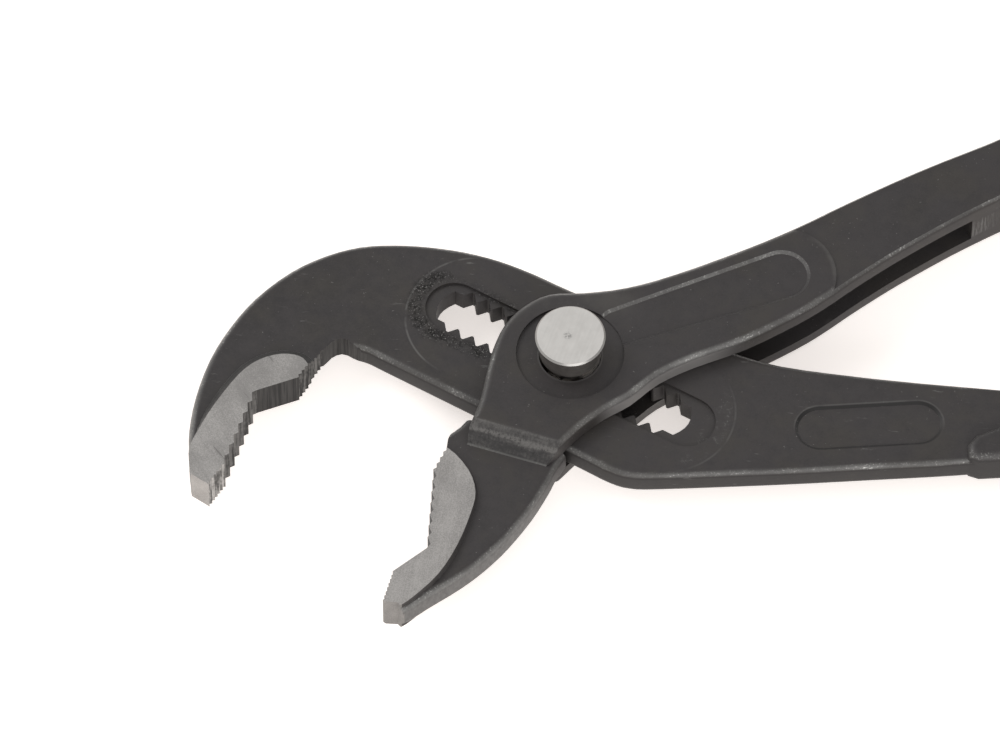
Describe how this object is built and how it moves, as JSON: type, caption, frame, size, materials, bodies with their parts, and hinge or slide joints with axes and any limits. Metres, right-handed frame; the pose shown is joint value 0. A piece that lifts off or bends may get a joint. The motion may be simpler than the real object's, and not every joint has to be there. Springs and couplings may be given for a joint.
{
  "type": "water pump pliers",
  "caption": "Push-button water pump pliers: hooked sliding jaw on a toothed slot in a box joint, fixed jaw, bare panels and dipped grips.",
  "frame": {"origin": "point where the joint axis meets the resting plane of the rear cheek", "axes": "+Z along the joint axis towards the button, -X towards the jaws, +X towards the handles"},
  "size_m": [0.2421, 0.12, 0.0153],
  "materials": {
    "forged_steel": "dark phosphate coat, matt",
    "bright_steel": "turned, satin",
    "grip": "dipped soft plastic"
  },
  "bodies": {
    "fixed_arm": {"outer_arm": "forged_steel", "upper_grip": "grip", "retaining_ring": "bright_steel"},
    "joint_core": {"rear_cap": "forged_steel", "return_spring": "bright_steel"},
    "bolt": {"hinge_bolt": "bright_steel", "push_button": "bright_steel"},
    "sliding_arm": {"inner_arm": "forged_steel", "lower_grip": "grip"}
  },
  "joints": [
    {"name": "jaw_swing", "type": "hinge", "parent": "fixed_arm", "child": "joint_core", "pos_m": [0, 0, 0], "axis": [0, 0, 1], "range_deg": [-4, 14]},
    {"name": "button_press", "type": "slide", "parent": "joint_core", "child": "bolt", "axis": [0, 0, -1], "range_m": [0, 0.0035], "stiffness_N_per_m": 900, "springref_m": -0.004, "deforming": ["return_spring"]},
    {"name": "arm_shift", "type": "slide", "parent": "joint_core", "child": "sliding_arm", "axis": [0.866, -0.5, 0], "range_m": [-0.0144, 0.0144]}
  ]
}
